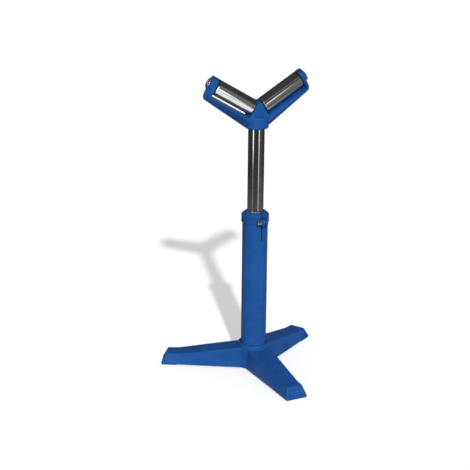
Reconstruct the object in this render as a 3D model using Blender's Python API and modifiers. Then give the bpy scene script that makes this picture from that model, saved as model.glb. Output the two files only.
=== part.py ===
# Roller stand: a three-legged cast base, a column tube, a sliding mast with a clamp
# collar, and a V yoke that carries two rollers on inclined axles.
# Units are metres, +Z is up, the rollers lie along X and the work lies along Y.
# The origin is on the floor, under the middle of the stand's outline.

import bpy
import bmesh
import math
from mathutils import Matrix, Vector

mm = 0.001
deg = math.pi / 180

# Fits
seat_gap = 0.3 * mm
slide_gap = 0.25 * mm
overrun = 6 * mm

# Base casting
leg_reach = 281.5 * mm
leg_end_lean = 17 * mm
leg_tip_length = 50.5 * mm
leg_root_height = 70.7 * mm
leg_tip_height = 35 * mm
leg_root_half_width = 42.4 * mm
leg_tip_half_width = 34.6 * mm
leg_top_root_half_width = 36 * mm
leg_top_tip_half_width = 24.4 * mm
leg_edge = 3 * mm
leg_overlap = 10 * mm
leg_wall = 8 * mm
pad_height = 3.2 * mm
pad_start_gap = 6.5 * mm
pad_inset = 2 * mm
pad_overlap = 1 * mm
hub_top = 75 * mm
hub_wall = 8.95 * mm
hub_flare = 6 * mm
hub_edge = 2 * mm
socket_floor = 15 * mm
socket_ledge = 3.05 * mm
socket_mouth_chamfer = 2.4 * mm
socket_mouth_depth = 6 * mm
leg_angles = (-90 * deg, 30 * deg, 150 * deg)

# Column tube, its slot and its set screws
column_wall = 3.6 * mm
slot_width = 4.6 * mm
slot_bottom = 409 * mm
slot_angle = -85 * deg
column_screw_radius = 6 * mm
column_screw_length = 11 * mm
column_screw_heights = (30 * mm, 54 * mm)
column_screw_key = 3 * mm

# Column bush and wiper ring
bush_length = 46 * mm
bush_wall = 9.75 * mm
wiper_wall = 2.6 * mm
wiper_proud = 3.5 * mm

# Clamp collar, its lugs and its screw
collar_top = 493 * mm
collar_height = 32 * mm
collar_wall = 2.95 * mm
collar_cone_width = 10 * mm
collar_cone_height = 9 * mm
collar_lip_height = 10.7 * mm
lug_length = 15 * mm
lug_thickness = 9 * mm
lug_height = 18 * mm
lug_edge = 1.5 * mm
clamp_screw_radius = 4 * mm
clamp_screw_length = 26.5 * mm
clamp_screw_clearance = 6.5 * mm
clamp_head_radius = 6.5 * mm
clamp_head_height = 8 * mm
clamp_head_edge = 0.7 * mm
clamp_key = 3.46 * mm
clamp_key_depth = 4 * mm
clamp_hole_clearance = 0.5 * mm
clamp_washer_radius = 7.5 * mm
clamp_washer_thickness = 1.6 * mm
clamp_nut_corner_radius = 7.5 * mm
clamp_nut_height = 4 * mm
clamp_nut_pocket_depth = 3 * mm
clamp_nut_turn = -30 * deg

# Mast, its guide ring and retaining rings
mast_radius = 24.15 * mm
mast_wall = 4 * mm
mast_bottom = 255.4 * mm
mast_edge = 1 * mm
groove_depth = 1.2 * mm
groove_width = 2.6 * mm
lower_groove_height = 4 * mm
guide_length = 32 * mm
retaining_ring_height = 2 * mm
retaining_ring_width = 5 * mm

# Yoke: measured from the point where the two roller axes meet
vee_height = 797.6 * mm
roller_tilt = 30.5 * deg
yoke_half_depth = 21.7 * mm
section_shares = (0.15, 0.45, 0.75, 1)
rim_share = 0.38
ear_thickness = 15 * mm
ear_lean = 2 * mm
ear_radius = 24.5 * mm
ear_draft = 8.5 * mm
ear_edge = 1.8 * mm
bar_clearance = 4.35 * mm
bar_crown = 4.5 * mm
keel_depth_outer = 47.7 * mm
keel_depth_root = 61 * mm
keel_root_reach = 8 * mm
yoke_corner_radius = 13 * mm
pocket_fillet = 4 * mm
wedge_crown = 2 * mm
yoke_socket_wall = 11.15 * mm
yoke_socket_drop = 52.9 * mm
yoke_socket_top = 17.4 * mm
yoke_socket_edge = 3 * mm
mast_insert = 31 * mm
axle_boss_radius = 17 * mm
axle_boss_height = 3.6 * mm
axle_boss_edge = 1.2 * mm
yoke_screw_radius = 5 * mm
yoke_screw_drop = 36 * mm
yoke_screw_length = 10 * mm
yoke_screw_key = 2.6 * mm

# Rollers and axles: measured along the roller's axis from the same point
roller_radius = 24.15 * mm
roller_start = 20.9 * mm
roller_length = 135.8 * mm
roller_bore_radius = 19 * mm
roller_edge = 1.5 * mm
wedge_gap = 4 * mm
ear_gap = 3.3 * mm
axle_radius = 8.5 * mm
axle_inner_depth = 8.5 * mm
axle_edge = 1 * mm
axle_head_radius = 10.5 * mm
axle_head_height = 2.8 * mm
axle_head_edge = 0.6 * mm
axle_screw_radius = 2 * mm
axle_screw_length = 9 * mm
axle_screw_key = 1.15 * mm
axle_screw_inset = 3.8 * mm

# Ball bearings in the rollers' ends
bearing_radius = 20 * mm
bearing_width = 12 * mm
bearing_seat_depth = 14 * mm
ball_radius = 3.37 * mm
ball_circle_radius = 14.25 * mm
ball_count = 8
groove_clearance = 0.4 * mm
groove_floor_width = 3 * mm
groove_mouth_width = 6 * mm
inner_shoulder_radius = 12.2 * mm
outer_shoulder_radius = 16.4 * mm
cage_thickness = 1.8 * mm
cage_proud = 0.5 * mm
cage_half_width = 1.1 * mm
shield_thickness = 0.7 * mm
shield_inset = 0.4 * mm
sleeve_wall = 2.4 * mm

# Shares of a set screw's radius and length
set_screw_edge_share = 0.16
set_screw_key_share = 0.5

# Counts of facets
tube_steps = 32
roller_steps = 32
boss_steps = 24
bearing_steps = 16
screw_steps = 16
ball_segments = 8
ball_rings = 4
corner_steps = 3
fillet_steps = 2
hexagon_sides = 6

column_radius = mast_radius + slide_gap + bush_wall + seat_gap + column_wall
hub_top_radius = column_radius + hub_wall
hub_foot_radius = hub_top_radius + hub_flare
socket_floor_radius = column_radius - socket_ledge
collar_radius = column_radius + collar_wall
collar_top_radius = collar_radius - collar_cone_width
lug_reach = collar_radius + lug_length
clamp_screw_offset = collar_radius + clamp_screw_clearance
yoke_socket_radius = mast_radius + yoke_socket_wall

# The outline's front and back reach differ, so the column stands behind the middle
leg_knee = leg_reach - leg_tip_length
pad_start = leg_knee + pad_start_gap
back_reach = (leg_reach - leg_edge) * math.sin(leg_angles[1]) + leg_tip_half_width * math.cos(leg_angles[1])
column_y = (leg_reach - back_reach) / 2

roller_end = roller_start + roller_length
wedge_face = roller_start - wedge_gap
ear_face = roller_end + ear_gap
ear_back = ear_face + ear_thickness
axle_boss_face = ear_back + axle_boss_height
bearing_centres = (
    roller_start + bearing_seat_depth - seat_gap - bearing_width / 2,
    roller_end - bearing_seat_depth + seat_gap + bearing_width / 2,
)
mast_top = vee_height - yoke_socket_drop + mast_insert - seat_gap
keel_flat_share = section_shares[0]
collar_bottom = collar_top - collar_height
lip_underside = collar_top - collar_lip_height
column_top = lip_underside - seat_gap

for old in list(bpy.data.objects):
    bpy.data.objects.remove(old, do_unlink=True)

parts = bpy.data.collections.new("roller_stand")
cutters = bpy.data.collections.new("roller_stand_cutters")
bpy.context.scene.collection.children.link(parts)
bpy.context.scene.collection.children.link(cutters)


def finish(name, colour, roughness, metallic):
    material = bpy.data.materials.new(name)
    material.use_nodes = True
    shader = material.node_tree.nodes["Principled BSDF"]
    shader.inputs["Base Color"].default_value = (*colour, 1)
    shader.inputs["Roughness"].default_value = roughness
    shader.inputs["Metallic"].default_value = metallic
    return material


blue_paint = finish("blue_paint", (0.02, 0.09, 0.31), 0.45, 0.0)
bright_steel = finish("bright_steel", (0.62, 0.62, 0.63), 0.22, 1.0)
machined_steel = finish("machined_steel", (0.42, 0.42, 0.43), 0.35, 1.0)
black_steel = finish("black_steel", (0.06, 0.06, 0.065), 0.4, 1.0)
brown_plastic = finish("brown_plastic", (0.35, 0.24, 0.14), 0.55, 0.0)


def pivot(name, parent=None, location=(0, 0, 0), rotation=(0, 0, 0)):
    empty = bpy.data.objects.new(name, None)
    parts.objects.link(empty)
    empty.parent = parent
    empty.location = location
    empty.rotation_euler = rotation
    return empty


def place(name, mesh, material, parent, location, rotation, as_cutter):
    piece = bpy.data.objects.new(name, mesh)
    (cutters if as_cutter else parts).objects.link(piece)
    piece.parent = parent
    piece.location = location
    piece.rotation_euler = rotation
    if as_cutter:
        piece.hide_render = True
        piece.display_type = "WIRE"
    else:
        mesh.materials.append(material)
    return piece


def turned(name, profile, material=None, parent=None, location=(0, 0, 0), rotation=(0, 0, 0),
           steps=tube_steps, closed=True, as_cutter=False):
    # The profile runs down the outer side first, as (radius, height) pairs
    mesh = bpy.data.meshes.new(name)
    shape = bmesh.new()
    corners = [shape.verts.new((radius, 0, height)) for radius, height in profile]
    for first, second in zip(corners, corners[1:]):
        shape.edges.new((first, second))
    if closed:
        shape.edges.new((corners[-1], corners[0]))
    shape.to_mesh(mesh)
    shape.free()
    piece = place(name, mesh, material, parent, location, rotation, as_cutter)
    screw = piece.modifiers.new("turn", "SCREW")
    screw.angle = 2 * math.pi
    screw.steps = steps
    screw.render_steps = steps
    screw.use_merge_vertices = True
    screw.merge_threshold = 0.01 * mm
    screw.use_smooth_shade = True
    return piece


def ring(name, inner, outer, bottom, top, edge=0, **where):
    # A plain ring; edge is the chamfer on its outer corners
    profile = [(outer, top - edge), (outer, bottom + edge)]
    if edge:
        profile += [(outer - edge, bottom)]
    profile += [(inner, bottom), (inner, top)]
    if edge:
        profile += [(outer - edge, top)]
    return turned(name, profile, **where)


def rod(name, radius, bottom, top, edge=0, **where):
    # A solid round bar with its ends chamfered
    profile = [(0, top), (radius - edge, top)]
    if edge:
        profile += [(radius, top - edge), (radius, bottom + edge)]
    profile += [(radius - edge, bottom), (0, bottom)]
    return turned(name, profile, closed=False, **where)


def block(name, low, high, material=None, parent=None, edge=0, location=(0, 0, 0),
          rotation=(0, 0, 0), as_cutter=False):
    mesh = bpy.data.meshes.new(name)
    shape = bmesh.new()
    size = Vector(high) - Vector(low)
    middle = (Vector(high) + Vector(low)) / 2
    matrix = Matrix.Translation(middle) @ Matrix.Diagonal((*size, 1))
    bmesh.ops.create_cube(shape, size=1, matrix=matrix)
    shape.to_mesh(mesh)
    shape.free()
    piece = place(name, mesh, material, parent, location, rotation, as_cutter)
    if edge:
        bevel = piece.modifiers.new("edges", "BEVEL")
        bevel.width = edge
        bevel.segments = 1
    return piece


def hexagon(name, corner_radius, bottom, top, **where):
    return rod(name, corner_radius, bottom, top, steps=hexagon_sides, **where)


def combine(piece, operation, *others):
    for other in others:
        step = piece.modifiers.new(other.name, "BOOLEAN")
        step.operation = operation
        step.solver = "EXACT"
        step.object = other


def shade(piece, angle=35 * deg):
    # Modifiers are applied here, so that the sharp edges can be marked on the result
    bpy.context.view_layer.update()
    graph = bpy.context.evaluated_depsgraph_get()
    mesh = bpy.data.meshes.new_from_object(piece.evaluated_get(graph))
    mesh.shade_smooth()
    mesh.set_sharp_from_angle(angle=angle)
    mesh.name = piece.name
    piece.modifiers.clear()
    piece.data = mesh


# Pivots
stand = pivot("column_axis", location=(0, column_y, 0))
mast_pivot = pivot("mast_axis", stand)
vee_pivot = pivot("vee_centre", mast_pivot, location=(0, 0, vee_height))
clamp_pivot = pivot("slot_direction", stand, rotation=(0, 0, slot_angle))


def at_share(start, stop, share):
    return start + (stop - start) * share


def leg_solid(name, start, stop, inset, floor, end_lean=0, edge=0):
    # A tapered box along +X with a knee in its top; inset draws its walls in
    mesh = bpy.data.meshes.new(name)
    shape = bmesh.new()
    bmesh.ops.create_cube(shape, size=2)
    bmesh.ops.bisect_plane(shape, geom=shape.verts[:] + shape.edges[:] + shape.faces[:],
                           plane_co=(0, 0, 0), plane_no=(1, 0, 0))
    weights = shape.edges.layers.float.new("bevel_weight_edge")
    for line in shape.edges:
        ends = [corner.co.copy() for corner in line.verts]
        on_floor = all(end.z < 0 for end in ends)
        on_knee = all(end.x == 0 for end in ends)
        line[weights] = 0 if on_floor or on_knee else 1
    knee = min(leg_knee, stop)
    for corner in shape.verts:
        along, side, level = corner.co
        reach = start if along < 0 else knee if along == 0 else stop
        share = reach / leg_reach
        drop = min(reach, leg_knee) / leg_knee
        if level > 0:
            half = at_share(leg_top_root_half_width, leg_top_tip_half_width, share)
            height = at_share(leg_root_height, leg_tip_height, drop) - inset
            lean = end_lean if along > 0 else 0
        else:
            half = at_share(leg_root_half_width, leg_tip_half_width, share)
            height = floor
            lean = 0
        corner.co = (reach - lean, side * (half - inset), height)
    shape.to_mesh(mesh)
    shape.free()
    piece = place(name, mesh, None, stand, (0, 0, 0), (0, 0, 0), True)
    if edge:
        bevel = piece.modifiers.new("edges", "BEVEL")
        bevel.limit_method = "WEIGHT"
        bevel.width = edge
        bevel.segments = 1
    return piece


def base_casting():
    legs = []
    hollows = []
    for number, angle in enumerate(leg_angles):
        leg = leg_solid(f"leg_{number}", -leg_overlap, leg_reach, 0, pad_height, leg_end_lean,
                        leg_edge)
        leg_hollow = leg_solid(f"leg_hollow_{number}", hub_foot_radius, pad_start, leg_wall, -overrun)
        pad_half = at_share(leg_root_half_width, leg_tip_half_width, pad_start / leg_reach) - pad_inset
        tip_half = leg_tip_half_width - pad_inset
        pad = block(f"pad_{number}", (pad_start + pad_inset, -pad_half, 0),
                    (leg_reach - pad_inset, pad_half, pad_height + pad_overlap), parent=stand, as_cutter=True)
        for corner in pad.data.vertices:
            if corner.co.x > (pad_start + leg_reach) / 2:
                corner.co.y *= tip_half / pad_half
        for piece in (leg, leg_hollow, pad):
            piece.rotation_euler = (0, 0, angle)
        legs += [leg, pad]
        hollows += [leg_hollow]
    hub = turned("base_casting", [
        (0, hub_top), (hub_top_radius - hub_edge, hub_top), (hub_top_radius, hub_top - hub_edge),
        (hub_foot_radius, pad_height), (0, pad_height),
    ], blue_paint, stand, closed=False)
    socket = turned("column_socket", [
        (0, hub_top + overrun),
        (column_radius + seat_gap + socket_mouth_chamfer, hub_top + overrun),
        (column_radius + seat_gap + socket_mouth_chamfer, hub_top - socket_mouth_depth),
        (column_radius + seat_gap, hub_top - socket_mouth_depth - socket_mouth_chamfer),
        (column_radius + seat_gap, socket_floor), (socket_floor_radius, socket_floor),
        (socket_floor_radius, -overrun), (0, -overrun),
    ], parent=stand, closed=False, as_cutter=True)
    screw_holes = [
        rod(f"column_screw_hole_{number}", column_screw_radius + seat_gap, 0, hub_foot_radius + overrun,
            parent=stand, location=(0, 0, height), rotation=(-math.pi / 2, 0, 0),
            steps=screw_steps, as_cutter=True)
        for number, height in enumerate(column_screw_heights)
    ]
    combine(hub, "UNION", *legs)
    combine(hub, "DIFFERENCE", *hollows, socket, *screw_holes)
    shade(hub)


def set_screw(name, radius, length, key, parent, location, rotation=(-math.pi / 2, 0, 0)):
    # A grub screw whose inner end is at the location; its hexagon socket faces outwards
    screw = rod(name, radius, 0, length, edge=radius * set_screw_edge_share, material=black_steel,
                parent=parent, location=location, rotation=rotation, steps=screw_steps)
    socket = hexagon(name + "_key", key, length * set_screw_key_share, length + overrun, parent=parent,
                     location=location, rotation=rotation, as_cutter=True)
    combine(screw, "DIFFERENCE", socket)
    shade(screw)


def column():
    tube = ring("column_tube", column_radius - column_wall, column_radius,
                socket_floor + seat_gap, column_top, material=blue_paint, parent=stand)
    slot = block("tube_slot", (0, -slot_width / 2, slot_bottom + slot_width / 2),
                 (lug_reach + overrun, slot_width / 2, column_top + overrun),
                 parent=clamp_pivot, as_cutter=True)
    slot_end = rod("tube_slot_end", slot_width / 2, 0, lug_reach, parent=clamp_pivot,
                   location=(0, 0, slot_bottom + slot_width / 2), rotation=(0, math.pi / 2, 0),
                   steps=screw_steps, as_cutter=True)
    combine(tube, "DIFFERENCE", slot, slot_end)
    shade(tube)

    bush_outer = column_radius - column_wall - seat_gap
    bush_inner = mast_radius + slide_gap
    bush = ring("column_bush", bush_inner, bush_outer, column_top - bush_length, column_top,
                material=machined_steel, parent=stand)
    combine(bush, "DIFFERENCE", slot)
    shade(bush)
    ring("column_wiper", bush_inner, bush_inner + wiper_wall, lip_underside,
         collar_top + wiper_proud, material=bright_steel, parent=stand)

    for place_name, height in zip(("lower", "upper"), column_screw_heights):
        set_screw(f"column_{place_name}_set_screw", column_screw_radius, column_screw_length,
                  column_screw_key, stand, (0, column_radius + seat_gap, height))


def clamp():
    collar_inner = column_radius + seat_gap
    lip_inner = mast_radius + slide_gap + wiper_wall + seat_gap
    collar = turned("clamp_collar", [
        (collar_top_radius, collar_top), (collar_radius, collar_top - collar_cone_height),
        (collar_radius, collar_bottom), (collar_inner, collar_bottom),
        (collar_inner, lip_underside), (lip_inner, lip_underside), (lip_inner, collar_top),
    ], blue_paint, stand)
    lug_side = slot_width / 2 + lug_thickness
    lug_top = collar_bottom + lug_height
    lugs = block("clamp_lugs", (column_radius, -lug_side, collar_bottom),
                 (lug_reach, lug_side, lug_top), parent=clamp_pivot, edge=lug_edge, as_cutter=True)
    slot = block("collar_slot", (0, -slot_width / 2, collar_bottom - overrun),
                 (lug_reach + overrun, slot_width / 2, collar_top + overrun),
                 parent=clamp_pivot, as_cutter=True)
    bore = rod("collar_bore", collar_inner, collar_bottom - overrun, (lug_top + lip_underside) / 2,
               parent=stand, as_cutter=True)
    screw_height = collar_bottom + lug_height / 2
    screw_place = (clamp_screw_offset, 0, screw_height)
    head_up = (math.pi / 2, 0, 0)
    flat_inwards = (math.pi / 2, clamp_nut_turn, 0)
    pocket_floor = -lug_side + clamp_nut_pocket_depth
    pocket_radius = clamp_nut_corner_radius + seat_gap / math.cos(clamp_nut_turn)
    pocket = hexagon("clamp_nut_pocket", pocket_radius, -lug_side - overrun, pocket_floor,
                     parent=clamp_pivot, location=screw_place, rotation=flat_inwards, as_cutter=True)
    hole = rod("clamp_screw_hole", clamp_screw_radius + clamp_hole_clearance, -lug_side - overrun,
               lug_side + overrun, parent=clamp_pivot, location=screw_place, rotation=head_up,
               steps=screw_steps, as_cutter=True)
    combine(collar, "UNION", lugs)
    combine(collar, "DIFFERENCE", bore, slot, hole, pocket)
    shade(collar)

    # Along the screw's own axis, heights run from the nut's side up to the head
    washer_bottom = lug_side + seat_gap
    head_bottom = washer_bottom + clamp_washer_thickness + seat_gap
    head_top = head_bottom + clamp_head_height
    screw_bottom = head_bottom - clamp_screw_length
    screw = turned("clamp_screw", [
        (0, head_top), (clamp_head_radius - clamp_head_edge, head_top),
        (clamp_head_radius, head_top - clamp_head_edge), (clamp_head_radius, head_bottom),
        (clamp_screw_radius, head_bottom), (clamp_screw_radius, screw_bottom), (0, screw_bottom),
    ], machined_steel, clamp_pivot, screw_place, head_up, steps=screw_steps, closed=False)
    key = hexagon("clamp_key", clamp_key, head_top - clamp_key_depth, head_top + overrun,
                  parent=clamp_pivot, location=screw_place, rotation=head_up, as_cutter=True)
    combine(screw, "DIFFERENCE", key)
    shade(screw)
    hole_radius = clamp_screw_radius + clamp_hole_clearance
    ring("clamp_washer", hole_radius, clamp_washer_radius, washer_bottom,
         washer_bottom + clamp_washer_thickness, material=machined_steel, parent=clamp_pivot,
         location=screw_place, rotation=head_up, steps=screw_steps)
    nut_top = pocket_floor - seat_gap
    nut = hexagon("clamp_nut", clamp_nut_corner_radius, nut_top - clamp_nut_height, nut_top,
                  material=machined_steel, parent=clamp_pivot, location=screw_place,
                  rotation=flat_inwards)
    thread = rod("clamp_nut_thread", clamp_screw_radius + seat_gap, nut_top - clamp_nut_height - overrun,
                 nut_top + overrun, parent=clamp_pivot, location=screw_place, rotation=head_up,
                 steps=screw_steps, as_cutter=True)
    combine(nut, "DIFFERENCE", thread)
    shade(nut)


def mast():
    inner = mast_radius - mast_wall
    groove = mast_radius - groove_depth
    low_groove = mast_bottom + lower_groove_height
    guide_bottom = low_groove + groove_width + seat_gap
    high_groove = guide_bottom + guide_length + seat_gap
    profile = [(mast_radius - mast_edge, mast_top), (mast_radius, mast_top - mast_edge)]
    for bottom in (high_groove, low_groove):
        top = bottom + groove_width
        profile += [(mast_radius, top), (groove, top), (groove, bottom), (mast_radius, bottom)]
    profile += [(mast_radius, mast_bottom + mast_edge), (mast_radius - mast_edge, mast_bottom)]
    profile += [(inner, mast_bottom), (inner, mast_top)]
    turned("mast_tube", profile, bright_steel, mast_pivot)
    guide_outer = column_radius - column_wall - slide_gap
    ring("mast_guide_ring", mast_radius + slide_gap, guide_outer, guide_bottom,
         guide_bottom + guide_length, edge=groove_depth, material=brown_plastic, parent=mast_pivot)
    play = (groove_width - retaining_ring_height) / 2
    for place_name, bottom in (("lower", low_groove), ("upper", high_groove)):
        ring(f"mast_{place_name}_retaining_ring", groove + seat_gap, groove + retaining_ring_width,
             bottom + play, bottom + play + retaining_ring_height, material=black_steel,
             parent=mast_pivot, steps=boss_steps)


def yoke_outline(share):
    # Half of the yoke's outline at a depth from the middle plane, as a share of the half
    # depth; along is the distance on the roller's axis and above is square to it
    depth = share * yoke_half_depth
    ease = max(0, share - keel_flat_share) / (1 - keel_flat_share)
    outer = ear_back - ear_draft * ease
    bar_top = -(roller_radius + bar_clearance + bar_crown * ease)
    rim_lift = (1 - rim_share) * ease
    keel_outer = -keel_depth_outer + rim_lift * (keel_depth_outer + bar_top)
    keel_root = -keel_depth_root + rim_lift * (keel_depth_root + bar_top)
    crest = math.sqrt(ear_radius ** 2 - depth ** 2)
    corner = yoke_corner_radius
    quarter = math.pi / 2
    points = [(keel_root_reach, keel_root)]
    for step in range(corner_steps + 1):
        angle = quarter * (step / corner_steps - 1)
        points += [(outer - corner + corner * math.cos(angle),
                    keel_outer + corner + corner * math.sin(angle))]
    tip = outer + ear_lean
    points += [(tip, crest - ear_edge), (tip - ear_edge, crest), (ear_face, crest)]
    for centre_side, face in ((-1, ear_face), (1, wedge_face)):
        arc = [
            (face + centre_side * pocket_fillet * (1 - math.cos(angle)),
             bar_top + pocket_fillet * (1 - math.sin(angle)))
            for angle in [quarter * step / fillet_steps for step in range(fillet_steps + 1)]
        ]
        points += arc if centre_side < 0 else arc[::-1]
    points += [(wedge_face, crest)]
    across = [
        (along * math.cos(roller_tilt) - above * math.sin(roller_tilt),
         along * math.sin(roller_tilt) + above * math.cos(roller_tilt))
        for along, above in points
    ]
    bottom_middle = (0, across[0][1])
    top_middle = (0, across[-1][1] + wedge_crown)
    return [bottom_middle, *across, top_middle]


def yoke_body():
    # Sections at several depths, lofted: the yoke tapers to its faces like a casting
    shares = [-share for share in reversed(section_shares)] + list(section_shares)
    mesh = bpy.data.meshes.new("yoke_casting")
    shape = bmesh.new()
    loops = []
    for share in shares:
        half = yoke_outline(abs(share))
        mirrored = [(-x, z) for x, z in half[-2:0:-1]]
        loops.append([shape.verts.new((x, share * yoke_half_depth, z)) for x, z in half + mirrored])
    for front, back in zip(loops, loops[1:]):
        for i in range(len(front)):
            j = (i + 1) % len(front)
            shape.faces.new((front[i], back[i], back[j], front[j]))
    shape.faces.new(loops[0])
    shape.faces.new(loops[-1][::-1])
    bmesh.ops.recalc_face_normals(shape, faces=shape.faces)
    shape.to_mesh(mesh)
    shape.free()
    return place("yoke_casting", mesh, blue_paint, vee_pivot, (0, 0, 0), (0, 0, 0), False)


def yoke(sides):
    casting = yoke_body()
    bottom = -yoke_socket_drop
    edge = yoke_socket_edge
    socket = turned("yoke_socket", [
        (0, -yoke_socket_top), (yoke_socket_radius - edge, -yoke_socket_top),
        (yoke_socket_radius, -yoke_socket_top - edge), (yoke_socket_radius, bottom + edge),
        (yoke_socket_radius - edge, bottom), (0, bottom),
    ], parent=vee_pivot, closed=False, as_cutter=True)
    mast_hole = rod("mast_hole", mast_radius + seat_gap, bottom - overrun, bottom + mast_insert,
                    parent=vee_pivot, as_cutter=True)
    towards_back = (-math.pi / 2, 0, 0)
    screw_hole = rod("yoke_screw_hole", yoke_screw_radius + seat_gap, 0, yoke_socket_radius + overrun,
                     parent=vee_pivot, location=(0, 0, -yoke_screw_drop), rotation=towards_back,
                     steps=screw_steps, as_cutter=True)
    combine(casting, "UNION", socket)
    for side, axis in sides.items():
        boss = rod(f"{side}_axle_boss", axle_boss_radius, ear_face + ear_edge, axle_boss_face,
                   edge=axle_boss_edge, parent=axis, steps=boss_steps, as_cutter=True)
        combine(casting, "UNION", boss)
    for side, axis in sides.items():
        hole = rod(f"{side}_axle_hole", axle_radius + seat_gap, wedge_face - axle_inner_depth - seat_gap,
                   axle_boss_face + overrun, parent=axis, steps=bearing_steps, as_cutter=True)
        pin_hole = rod(f"{side}_axle_screw_hole", axle_screw_radius + seat_gap, 0,
                       yoke_half_depth + overrun, parent=axis, location=(0, 0, ear_face + axle_screw_inset),
                       rotation=towards_back, steps=screw_steps, as_cutter=True)
        combine(casting, "DIFFERENCE", hole, pin_hole)
    combine(casting, "DIFFERENCE", mast_hole, screw_hole)
    shade(casting)
    set_screw("yoke_set_screw", yoke_screw_radius, yoke_screw_length, yoke_screw_key,
              vee_pivot, (0, mast_radius + seat_gap, -yoke_screw_drop))


def ball_cage(name, crown_side, **where):
    # A crown cage: a ring along one side of the balls, which it carries round
    low = crown_side * (ball_radius + cage_proud)
    high = low - crown_side * cage_thickness
    cage = ring(name, ball_circle_radius - cage_half_width, ball_circle_radius + cage_half_width,
                min(low, high), max(low, high), material=brown_plastic, **where)
    for number in range(ball_count):
        angle = 2 * math.pi * number / ball_count
        mesh = bpy.data.meshes.new(f"{name}_ball_{number}")
        shape = bmesh.new()
        spot = (ball_circle_radius * math.cos(angle), ball_circle_radius * math.sin(angle), 0)
        bmesh.ops.create_uvsphere(shape, u_segments=ball_segments, v_segments=ball_rings,
                                  radius=ball_radius, matrix=Matrix.Translation(spot))
        shape.to_mesh(mesh)
        shape.free()
        ball = place(mesh.name, mesh, None, where["parent"], where["location"], (0, 0, 0), True)
        combine(cage, "UNION", ball)
    shade(cage)


def bearing(name, outward, axis, centre):
    # outward is the side of the roller's near end: -1 at its lower end, 1 at its upper end
    half = bearing_width / 2
    outer = bearing_radius - seat_gap
    bore = axle_radius + seat_gap
    where = dict(parent=axis, location=(0, 0, centre), steps=bearing_steps)
    mouth = groove_mouth_width / 2
    floor = groove_floor_width / 2
    inner_floor = ball_circle_radius - ball_radius - groove_clearance
    outer_floor = ball_circle_radius + ball_radius + groove_clearance
    turned(f"{name}_inner_ring", [
        (inner_shoulder_radius, half), (inner_shoulder_radius, mouth), (inner_floor, floor),
        (inner_floor, -floor), (inner_shoulder_radius, -mouth), (inner_shoulder_radius, -half),
        (bore, -half), (bore, half),
    ], machined_steel, **where)
    turned(f"{name}_outer_ring", [
        (outer, half), (outer, -half), (outer_shoulder_radius, -half),
        (outer_shoulder_radius, -mouth), (outer_floor, -floor), (outer_floor, floor),
        (outer_shoulder_radius, mouth), (outer_shoulder_radius, half),
    ], machined_steel, **where)
    for side_name, side in (("end", outward), ("mid", -outward)):
        level = side * (half - shield_inset - shield_thickness / 2)
        ring(f"{name}_{side_name}_shield", inner_shoulder_radius + seat_gap,
             outer_shoulder_radius - seat_gap, level - shield_thickness / 2,
             level + shield_thickness / 2, material=black_steel, **where)
    ball_cage(f"{name}_ball_cage", outward, **where)


def roller(side, axis):
    seat = bearing_radius
    turned(f"{side}_roller_tube", [
        (roller_radius - roller_edge, roller_end), (roller_radius, roller_end - roller_edge),
        (roller_radius, roller_start + roller_edge), (roller_radius - roller_edge, roller_start),
        (seat, roller_start), (seat, roller_start + bearing_seat_depth),
        (roller_bore_radius, roller_start + bearing_seat_depth),
        (roller_bore_radius, roller_end - bearing_seat_depth),
        (seat, roller_end - bearing_seat_depth), (seat, roller_end),
    ], bright_steel, axis, steps=roller_steps)
    inner_end = wedge_face - axle_inner_depth
    head_bottom = axle_boss_face + seat_gap
    head_top = head_bottom + axle_head_height
    turned(f"{side}_axle", [
        (0, head_top), (axle_head_radius - axle_head_edge, head_top),
        (axle_head_radius, head_top - axle_head_edge), (axle_head_radius, head_bottom),
        (axle_radius, head_bottom), (axle_radius, inner_end + axle_edge),
        (axle_radius - axle_edge, inner_end), (0, inner_end),
    ], bright_steel, axis, steps=bearing_steps, closed=False)
    lower, upper = bearing_centres
    bearing(f"{side}_lower_bearing", -1, axis, lower)
    bearing(f"{side}_upper_bearing", 1, axis, upper)
    bore = axle_radius + seat_gap
    half = bearing_width / 2
    ring(f"{side}_distance_sleeve", bore, bore + sleeve_wall, lower + half + seat_gap,
         upper - half - seat_gap, material=machined_steel, parent=axis, steps=bearing_steps)
    ring(f"{side}_lower_spacer", bore, bore + sleeve_wall, wedge_face + seat_gap,
         lower - half - seat_gap, material=machined_steel, parent=axis, steps=bearing_steps)
    ring(f"{side}_upper_spacer", bore, bore + sleeve_wall, upper + half + seat_gap,
         ear_face - seat_gap, material=machined_steel, parent=axis, steps=bearing_steps)
    set_screw(f"{side}_axle_screw", axle_screw_radius, axle_screw_length, axle_screw_key, axis,
              (0, axle_radius + seat_gap, ear_face + axle_screw_inset))


roller_axes = {
    "left": pivot("left_roller_axis", vee_pivot, rotation=(0, roller_tilt - math.pi / 2, 0)),
    "right": pivot("right_roller_axis", vee_pivot, rotation=(0, math.pi / 2 - roller_tilt, 0)),
}
bpy.context.view_layer.update()

base_casting()
column()
clamp()
mast()
yoke(roller_axes)
for side, axis in roller_axes.items():
    roller(side, axis)
bpy.context.view_layer.update()
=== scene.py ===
# Roller stand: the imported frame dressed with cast, turned and painted pieces.
# Units are metres, +Z is up; the rollers lie along X and the work lies along Y.

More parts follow.
